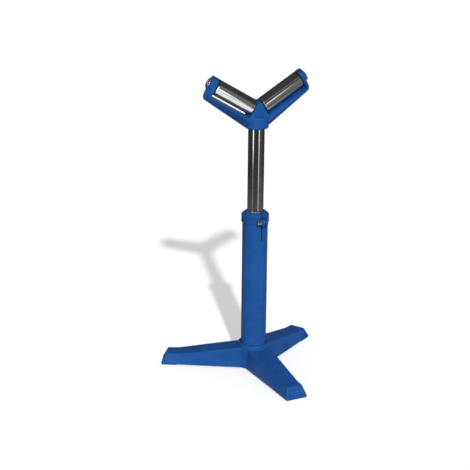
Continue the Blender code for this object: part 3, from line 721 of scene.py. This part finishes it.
nut = makeHexagon(clampNut["corner"], clampNut["outer"], clampNut["inner"], clampNut["turn"])
softenEdges(nut, clampNut["edge"], 2)
mouth, near, far = clampNut["mouth"], clampNut["inner"], clampNut["outer"]
cutWith(nut, turnRound([
    (mouth, near + overrun), (mouth, near - clampNut["mouthStart"]),
    (clampNut["thread"], near - clampNut["mouthDepth"]),
    (clampNut["thread"], far + clampNut["mouthDepth"]),
    (mouth, far + clampNut["mouthStart"]), (mouth, far - overrun),
], 48))
alongScrew(nut)
putAt(nut, columnFoot)
dress(nut, "clampNut", "stand", platedSteel, "machined_steel", "clamp_nut")
print("clamp collar, screw, washer and nut made")


# Mast tube with its guide ring and retaining rings

mast = {
    "radius": 24.15 * mm, "bore": 20.15 * mm, "bottom": 255.4 * mm, "top": 775.4 * mm,
    "edge": 1 * mm, "grooveRadius": 22.95 * mm, "grooveWidth": 2.6 * mm,
    "grooves": (294.6 * mm, 259.4 * mm), "guideInner": 24.4 * mm, "guideOuter": 34.2 * mm,
    "guideBottom": 262.3 * mm, "guideTop": 294.3 * mm, "ringInner": 23.25 * mm,
    "ringOuter": 27.95 * mm, "ringBottoms": {"lower": 259.7 * mm, "upper": 294.9 * mm},
    "ringThickness": 2 * mm, "ringEdge": 0.3 * mm, "guideEdge": 1.1 * mm,
}

radius, edge = mast["radius"], mast["edge"]
profile = [(radius - edge, mast["top"]), (radius, mast["top"] - edge)]
for bottom in mast["grooves"]:
    top = bottom + mast["grooveWidth"]
    profile += [(radius, top), (mast["grooveRadius"], top), (mast["grooveRadius"], bottom),
                (radius, bottom)]
profile += [(radius, mast["bottom"] + edge), (radius - edge, mast["bottom"]),
            (mast["bore"], mast["bottom"]), (mast["bore"], mast["top"])]
post = turnRound(profile, 128, bored=True, edge=0.2 * mm)
putAt(post, columnFoot)
dress(post, "mastTube", "mast", drawnSteel, "bright_steel", "mast_tube")

guide = ringBetween(mast["guideInner"], mast["guideOuter"], mast["guideBottom"],
                    mast["guideTop"], mast["guideEdge"])
putAt(guide, columnFoot)
dress(guide, "mastGuideRing", "mast_guide", brownPhenolic, "brown_plastic", "mast_guide_ring")

for which, bottom in mast["ringBottoms"].items():
    keeper = ringBetween(mast["ringInner"], mast["ringOuter"], bottom,
                         bottom + mast["ringThickness"], mast["ringEdge"])
    putAt(keeper, columnFoot)
    dress(keeper, f"mast{which.capitalize()}RetainingRing", "mast", blackOxide, "black_steel",
          f"mast_{which}_retaining_ring")
print("mast and its rings turned")


# Yoke casting: the frame's own form, given a cast skin, then its seats machined

yoke = {
    "grain": 1.15 * mm, "rounds": 6, "swell": 0.3 * mm,
    "axleHole": 8.8 * mm, "holeEnd": 8.1 * mm, "holeReach": 190 * mm,
    "mastHole": 24.45 * mm, "mastHoleTop": 775.7 * mm, "mouth": 1.2 * mm,
    "bottom": 744.7 * mm, "screwHole": 5.3 * mm, "screwHeight": 761.6 * mm,
    "screwReach": 60 * mm,
}
veeCentre = (0, columnY, vee["height"])
rollerTurns = {"left": (0, vee["tilt"] - 90 * deg, 0), "right": (0, 90 * deg - vee["tilt"], 0)}

yokeBody = bpy.data.objects.new("yokeBody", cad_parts["yoke_casting"].data.copy())
bpy.context.scene.collection.objects.link(yokeBody)
pickOnly(yokeBody)
bpy.ops.object.mode_set(mode="EDIT")
bpy.ops.mesh.select_all(action="SELECT")
bpy.ops.mesh.remove_doubles(threshold=hair)
bpy.ops.object.mode_set(mode="OBJECT")
castSkin(yokeBody, yoke)
for turn in rollerTurns.values():
    axleBore = makeRod(yoke["axleHole"], yoke["holeEnd"], yoke["holeReach"], 64)
    putAt(axleBore, veeCentre, turn)
    cutWith(yokeBody, axleBore)
wide = yoke["mastHole"] + 2 * yoke["mouth"]
mastHole = turnRound([
    (yoke["mastHole"], yoke["mastHoleTop"]), (yoke["mastHole"], yoke["bottom"] + yoke["mouth"]),
    (wide, yoke["bottom"] - yoke["mouth"]), (wide, yoke["bottom"] - overrun),
], 96)
putAt(mastHole, columnFoot)
screwHole = makeRod(yoke["screwHole"], 0, yoke["screwReach"])
putAt(screwHole, (0, columnY, yoke["screwHeight"]), (-90 * deg, 0, 0))
joinOn(mastHole, screwHole)
cutWith(yokeBody, mastHole)
dress(yokeBody, "yokeCasting", "mast", yokeEnamel, "blue_paint", "yoke_casting", angle=50 * deg)
print("yoke cast:", len(yokeBody.data.polygons), "faces")


# Rollers, axles, bearings, sleeves and spacers: each is turned upright, then laid along its
# side of the V

roller = {
    "radius": 24.15 * mm, "start": 20.9 * mm, "end": 156.7 * mm, "bore": 19 * mm,
    "seat": 20 * mm, "seatDepth": 14 * mm, "edge": 1.5 * mm, "lip": 0.35 * mm,
    "axleRadius": 8.5 * mm, "axleStart": 8.4 * mm, "headRadius": 10.5 * mm,
    "headBottom": 178.9 * mm, "headTop": 181.7 * mm, "headEdge": 2 * mm, "axleEdge": 1 * mm,
    "headFace": 6.6 * mm, "centreSlope": 1.2 * mm, "centreDepth": 1.6 * mm,
    "sleeve": (34.9 * mm, 142.7 * mm), "lowerSpacer": (17.2 * mm, 22.3 * mm),
    "upperSpacer": (155.3 * mm, 159.7 * mm), "sleeveOuter": 11.2 * mm,
    "pinPlace": 163.8 * mm,
}
bearing = {
    "centres": {"lower": 28.6 * mm, "upper": 149 * mm}, "half": 6 * mm, "bore": 8.8 * mm,
    "outer": 19.7 * mm, "outerShoulder": 16.4 * mm, "innerShoulder": 12.2 * mm,
    "ball": 3.37 * mm, "ballCircle": 14.25 * mm, "balls": 8, "ballGap": 0.35 * mm,
    "grooveHalf": 2.7 * mm, "grooveMiddle": 1.4 * mm, "grooveRise": 0.3 * mm,
    "shield": 0.7 * mm, "shieldInset": 0.4 * mm, "shieldGap": 0.3 * mm, "shieldRim": 0.9 * mm,
    "shieldStep": 1.2 * mm, "shieldDrop": 0.2 * mm,
    "cageInner": 13.15 * mm, "cageOuter": 15.35 * mm, "crownOut": 2.97 * mm,
    "crownHalf": 0.9 * mm, "cageEdge": 0.25 * mm,
}


def rollerTube():
    radius, start, end, rim = (roller[key] for key in ("radius", "start", "end", "edge"))
    bore, seat, lip = roller["bore"], roller["seat"], roller["lip"]
    seatStart, seatEnd = start + roller["seatDepth"], end - roller["seatDepth"]
    return turnRound([
        (radius - rim, end), (radius, end - rim), (radius, start + rim), (radius - rim, start),
        (seat + lip, start), (seat, start + lip), (seat, seatStart), (bore, seatStart),
        (bore, seatEnd), (seat, seatEnd), (seat, end - lip), (seat + lip, end),
    ], 128, bored=True, edge=0.25 * mm)


def axle():
    # A headed bar: a flat turned head with a centre hole, and a plain shank
    head, top, curve = roller["headRadius"], roller["headTop"], roller["headEdge"]
    radius, start, edge = roller["axleRadius"], roller["axleStart"], roller["axleEdge"]
    piece = turnRound([
        *[(head - curve * (1 - math.sin(turn)), top - curve * (1 - math.cos(turn)))
          for turn in (0, 18 * deg, 36 * deg, 54 * deg, 72 * deg, 90 * deg)],
        (head, roller["headBottom"]), (radius, roller["headBottom"]), (radius, start + edge),
        (radius - edge, start),
    ], 72, edge=0.2 * mm)
    bpy.ops.object.mode_set(mode="EDIT")
    pickFaces(piece, lambda co, out: out.z > 0.99 and co.z > top - hair)
    bpy.ops.mesh.inset(thickness=roller["headFace"])
    bpy.ops.mesh.inset(thickness=roller["centreSlope"], depth=-roller["centreDepth"])
    bpy.ops.object.mode_set(mode="OBJECT")
    return piece


def raceway(centre, shoulder, floor, rise):
    # The ball groove's section, from the ring's upper end to its lower one
    half, wide, middle = bearing["half"], bearing["grooveHalf"], bearing["grooveMiddle"]
    return [(shoulder, centre + half), (shoulder, centre + wide), (floor + rise, centre + middle),
            (floor, centre), (floor + rise, centre - middle), (shoulder, centre - wide),
            (shoulder, centre - half)]


def innerRing(centre):
    floor = bearing["ballCircle"] - bearing["ball"] - bearing["ballGap"]
    groove = raceway(centre, bearing["innerShoulder"], floor, bearing["grooveRise"])
    low, high = centre - bearing["half"], centre + bearing["half"]
    return turnRound(groove + [(bearing["bore"], low), (bearing["bore"], high)], 64, bored=True,
                     edge=0.2 * mm)


def outerRing(centre):
    floor = bearing["ballCircle"] + bearing["ball"] + bearing["ballGap"]
    groove = raceway(centre, bearing["outerShoulder"], floor, -bearing["grooveRise"])
    low, high = centre - bearing["half"], centre + bearing["half"]
    return turnRound([(bearing["outer"], high), (bearing["outer"], low)] + groove[::-1], 64,
                     bored=True, edge=0.3 * mm)


def shieldAt(level):
    # A pressed plate, stepped in a little between its two rims
    inner = bearing["innerShoulder"] + bearing["shieldGap"]
    outer = bearing["outerShoulder"] - bearing["shieldGap"]
    low, high = level - bearing["shield"] / 2, level + bearing["shield"] / 2
    rim, step, sunk = bearing["shieldRim"], bearing["shieldStep"], high - bearing["shieldDrop"]
    return turnRound([
        (outer, high), (outer, low), (inner, low), (inner, high), (inner + rim, high),
        (inner + step, sunk), (outer - step, sunk), (outer - rim, high),
    ], 64, bored=True)


def ballCage(centre, crownSide):
    # A crown cage carries the balls on their circle
    crown = centre + crownSide * bearing["crownOut"]
    cage = ringBetween(bearing["cageInner"], bearing["cageOuter"], crown - bearing["crownHalf"],
                       crown + bearing["crownHalf"], bearing["cageEdge"], 64)
    cage.data.materials.append(brownPhenolic)
    cage.data.materials.append(ballSteel)
    balls = []
    for number in range(bearing["balls"]):
        around = 360 * deg * number / bearing["balls"]
        deselectAll()
        bpy.ops.mesh.primitive_uv_sphere_add(segments=24, ring_count=14, radius=bearing["ball"])
        ball = bpy.context.object
        putAt(ball, (bearing["ballCircle"] * math.cos(around),
                     bearing["ballCircle"] * math.sin(around), centre))
        ball.data.materials.append(ballSteel)
        balls.append(ball)
    pickOnly(cage)
    for ball in balls:
        ball.select_set(True)
    bpy.ops.object.join()
    return cage


def setScrew(radius, length, key, sides=48):
    # A grub screw, in shares of its radius: a bevelled end, a threaded side and a hexagon
    # socket in its outer end
    pitch = radius * 0.3
    profile = [(radius * 0.84, length)]
    level = length - radius * 0.16
    while level > pitch + radius * 0.16:
        profile += [(radius, level), (radius * 0.9, level - pitch / 2)]
        level -= pitch
    profile += [(radius * 0.84, radius * 0.1), (radius * 0.6, 0)]
    piece = turnRound(profile, sides)
    cutWith(piece, makeHexagon(key, length * 0.5, length + overrun))
    return piece


# Set screws, as (radius, length, radius of the socket's corners)
screwPlan = {"column": (6 * mm, 11 * mm, 3 * mm), "yoke": (5 * mm, 10 * mm, 2.6 * mm),
             "axle": (2 * mm, 9 * mm, 1.15 * mm)}
towardsBack = (-90 * deg, 0, 0)
for which, height in zip(("Lower", "Upper"), base["screwHeights"]):
    grub = setScrew(*screwPlan["column"])
    putAt(grub, (0, columnY + base["socketRadius"], height), towardsBack)
    dress(grub, f"column{which}SetScrew", "stand", blackOxide, "black_steel",
          f"column_{which.lower()}_set_screw")
grub = setScrew(*screwPlan["yoke"])
putAt(grub, (0, columnY + yoke["mastHole"], yoke["screwHeight"]), towardsBack)
dress(grub, "yokeSetScrew", "mast", blackOxide, "black_steel", "yoke_set_screw")

# Each piece of a side, as (what makes it, with which sizes, its body, slot and node)
onAxle = (bearing["bore"], roller["sleeveOuter"])
plan = {
    "RollerTube": (rollerTube, (), "{}_roller", "bright_steel", "{}_roller_tube"),
    "Axle": (axle, (), "mast", "bright_steel", "{}_axle"),
    "DistanceSleeve": (ringBetween, (*onAxle, *roller["sleeve"], 0.4 * mm), "mast",
                       "machined_steel", "{}_distance_sleeve"),
    "LowerSpacer": (ringBetween, (*onAxle, *roller["lowerSpacer"], 0.3 * mm), "mast",
                    "machined_steel", "{}_lower_spacer"),
    "UpperSpacer": (ringBetween, (*onAxle, *roller["upperSpacer"], 0.3 * mm), "mast",
                    "machined_steel", "{}_upper_spacer"),
}
for which, centre in bearing["centres"].items():
    outward = -1 if which == "lower" else 1
    level = bearing["half"] - bearing["shieldInset"] - bearing["shield"] / 2
    endLevel, midLevel = centre + outward * level, centre - outward * level
    for first, second, *rest in (
        ("Inner", "Ring", innerRing, (centre,), "mast", "machined_steel"),
        ("Outer", "Ring", outerRing, (centre,), "{}_roller", "machined_steel"),
        ("End", "Shield", shieldAt, (endLevel,), "{}_roller", "black_steel"),
        ("Mid", "Shield", shieldAt, (midLevel,), "{}_roller", "black_steel"),
        ("Ball", "Cage", ballCage, (centre, outward), "{}_ball_cages", "brown_plastic"),
    ):
        node = f"{{}}_{which}_bearing_{first.lower()}_{second.lower()}"
        plan[f"{which.capitalize()}Bearing{first}{second}"] = (*rest, node)

for side, turn in rollerTurns.items():
    barSteel = makeDrawnSteel(side + "RollerSteel", veeCentre, turn, cleanFrom=-0.2, cleanTo=0.02,
                              lineDepth=0.01 * mm, light=0.84, dull=0.07)
    axleSteel = makeTurnedSteel(side + "AxleSteel", veeCentre, turn, lines=1700, light=0.8,
                                dull=0.3)
    seatSteel = makeTurnedSteel(side + "BearingSteel", veeCentre, turn, lines=2400, light=0.42,
                                dull=0.26)
    finishes = {"bright_steel": axleSteel, "machined_steel": seatSteel, "black_steel": blackOxide,
                "brown_plastic": None}
    for label, (make, sizes, body, slotName, node) in plan.items():
        piece = make(*sizes)
        putAt(piece, veeCentre, turn)
        finish = barSteel if label == "RollerTube" else finishes[slotName]
        dress(piece, side + label, body.format(side), finish, slotName, node.format(side))
    pin = setScrew(*screwPlan["axle"], sides=32)
    putAt(pin, (0, bearing["bore"], roller["pinPlace"]), towardsBack)
    putAt(pin, veeCentre, turn)
    dress(pin, side + "AxleScrew", "mast", blackOxide, "black_steel", f"{side}_axle_screw")
print("rollers, axles and bearings made")


# Studio: pale floor, soft key lamp, and a wall of light strips that only mirrored rays see

studio = {
    "floorSize": 40, "floorDrop": 0.2 * mm, "seenFloor": (0.8, 0.8, 0.81, 1),
    "bouncedFloor": grey(0.45), "floorLift": 0.335, "backDimming": 0.72,
    "keyPower": 2.74, "keySoftness": 2 * deg, "keySide": 9.4 * deg, "keyHeight": 35 * deg,
    "skyGlow": 0.36, "wallRadius": 1.08, "wallHeight": 2.6, "wallSides": 180,
    "dimFrom": -0.12, "dimTo": 0.05, "lowGlow": 0.13, "highGlow": 0.048, "lampDistance": 4,
}
cameraPlan = {
    "place": (-1.62617, -3.08738, 1.57882), "turn": (71.8115 * deg, -0.5326 * deg, -26.2183 * deg),
    "lens": 95.7, "sensor": 36, "farEnd": 100,
}

deselectAll()
bpy.ops.object.camera_add(location=cameraPlan["place"], rotation=cameraPlan["turn"])
camera = bpy.context.object
camera.data.lens = cameraPlan["lens"]
camera.data.sensor_width = cameraPlan["sensor"]
camera.data.clip_end = cameraPlan["farEnd"]
camera.data.dof.use_dof = False
bpy.context.scene.camera = camera

ahead = Vector((-0.4445, -0.8958, 0))     # level direction from the stand towards the camera
aside = Vector((-ahead.y, ahead.x, 0))    # and to the right of the picture


def studioSide(side, height):
    # A direction from the stand, turned to the right of the camera and raised
    level = ahead * math.cos(side) + aside * math.sin(side)
    return level * math.cos(height) + Vector((0, 0, math.sin(height)))


lampPlace = studioSide(studio["keySide"], studio["keyHeight"]) * studio["lampDistance"]
bpy.ops.object.light_add(type="SUN", location=lampPlace)
lamp = bpy.context.object
lamp.data.energy = studio["keyPower"]
lamp.data.angle = studio["keySoftness"]
lamp.rotation_euler = lamp.location.to_track_quat("Z", "Y").to_euler()

deselectAll()
bpy.ops.mesh.primitive_plane_add(size=studio["floorSize"], location=(0, 0, -studio["floorDrop"]))
floor = bpy.context.object
floor.name = "studioFloor"
paper = Finish("floorPaper")
tree = paper.tree
tree.nodes.remove(paper.shader)
rays = tree.nodes.new("ShaderNodeLightPath")
straight, through, mirrored = (Wire(paper, rays.outputs[f"Is {kind} Ray"])
                               for kind in ("Camera", "Transmission", "Glossy"))
seen = straight + through + mirrored
# In mirrored views the floor behind the stand is dim, so that edges turned from the camera
# stay deep in tone
towards = paper.node("ShaderNodeVectorMath", {"operation": "DOT_PRODUCT"},
                     {0: paper.place, 1: ahead}, output=1)
dim = mirrored * (1 - towards.fade(studio["dimFrom"], studio["dimTo"])) * studio["backDimming"]
tone = paper.mixed(seen, studio["bouncedFloor"], studio["seenFloor"])
tone = paper.mixed(dim, tone, grey(0))
matt = paper.node("ShaderNodeBsdfDiffuse", {}, {"Color": tone})
glow = paper.node("ShaderNodeEmission", {}, {"Strength": seen * (1 - dim) * studio["floorLift"]})
both = paper.node("ShaderNodeAddShader", {}, {0: matt, 1: glow})
tree.links.new(both.socket, tree.nodes["Material Output"].inputs["Surface"])
floor.data.materials.append(paper.material)
floor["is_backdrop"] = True

world = bpy.data.worlds.new("studioWorld")
bpy.context.scene.world = world
world.use_nodes = True
sky = world.node_tree
rays = sky.nodes.new("ShaderNodeLightPath")
# White where it is seen, mirrored or looked at through glass, and dim as a light
seenSky = rays.outputs["Is Camera Ray"]
for kind in ("Glossy", "Transmission"):
    either = sky.nodes.new("ShaderNodeMath")
    either.operation = "MAXIMUM"
    sky.links.new(seenSky, either.inputs[0])
    sky.links.new(rays.outputs[f"Is {kind} Ray"], either.inputs[1])
    seenSky = either.outputs[0]
strength = sky.nodes.new("ShaderNodeMapRange")
sky.links.new(seenSky, strength.inputs[0])
strength.inputs[3].default_value = studio["skyGlow"]
strength.inputs[4].default_value = 1.0
background = sky.nodes["Background"]
background.inputs["Color"].default_value = grey(1)
sky.links.new(strength.outputs[0], background.inputs["Strength"])

# Strips of light on the wall, as (side, half width, soft edge, the two heights over which it
# fades in, the two over which it fades out again, brightness)
strips = [
    (39.5 * deg, 5 * deg, 2 * deg, 0.36, 0.5, 0.53, 0.6, 1.8),
    (39 * deg, 5.5 * deg, 2 * deg, 0.22, 0.29, 0.4, 0.52, 0.85),
    (38 * deg, 8 * deg, 3 * deg, -0.1, 0, 0.22, 0.29, 0.6),
    (40 * deg, 3.5 * deg, 1.5 * deg, 0.94, 1.02, 1.12, 1.22, 1.1),
    (56 * deg, 17 * deg, 4 * deg, 0.42, 0.55, 1.15, 1.35, 0.125),
    (74 * deg, 22 * deg, 10 * deg, -0.1, 0, 0.4, 0.6, 0.06),
    (-41 * deg, 6.5 * deg, 3 * deg, 0.32, 0.47, 1.2, 1.5, 2.3),
    (-43 * deg, 8 * deg, 4 * deg, 0, 0.15, 0.3, 0.4, 0.12),
    (-30 * deg, 16 * deg, 5 * deg, 1.15, 1.3, 1.6, 1.75, 1.8),
    (-124 * deg, 16 * deg, 6 * deg, 0.84, 0.94, 1.4, 1.55, 0.16),
    (132 * deg, 16 * deg, 6 * deg, -0.1, 0, 0.1, 0.2, 0.6),
]
deselectAll()
bpy.ops.mesh.primitive_cylinder_add(vertices=studio["wallSides"], radius=studio["wallRadius"],
                                    depth=studio["wallHeight"], end_fill_type="NGON",
                                    location=(0, columnY, studio["wallHeight"] / 2))
wall = bpy.context.object
wall.name = "studioCards"
putAt(wall, wall.location)
bpy.ops.object.mode_set(mode="EDIT")
pickFaces(wall, lambda co, out: out.z < -0.9)
bpy.ops.mesh.delete(type="FACE")
bpy.ops.object.mode_set(mode="OBJECT")
cards = Finish("studioCards")
tree = cards.tree
tree.nodes.remove(cards.shader)
cameraTurn = math.atan2(ahead.y, ahead.x)
fromStand = cards.turnedPlace(columnFoot, (0, 0, cameraTurn))
outAhead, outLeft, up = cards.parts(fromStand)
around = cards.node("ShaderNodeMath", {"operation": "ARCTAN2"}, {0: outLeft, 1: outAhead})
shine = up.fade(0.12, 0.36, studio["lowGlow"], studio["highGlow"])
for side, width, soft, low, full, falling, high, bright in strips:
    offset = cards.node("ShaderNodeMath", {"operation": "WRAP"},
                        {0: around - side, 1: math.pi, 2: -math.pi})
    away = cards.node("ShaderNodeMath", {"operation": "ABSOLUTE"}, {0: offset})
    across = 1 - away.fade(width - soft, width + soft)
    tall = up.fade(low, full) * (1 - up.fade(falling, high))
    shine = shine + across * tall * bright
card = cards.node("ShaderNodeEmission", {}, {"Strength": shine})
tree.links.new(card.socket, tree.nodes["Material Output"].inputs["Surface"])
wall.data.materials.append(cards.material)
for ray in ("camera", "diffuse", "transmission", "shadow", "volume_scatter"):
    setattr(wall, "visible_" + ray, False)
wall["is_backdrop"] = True
bpy.context.scene.view_settings.view_transform = "Standard"
print("studio set")

low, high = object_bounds()
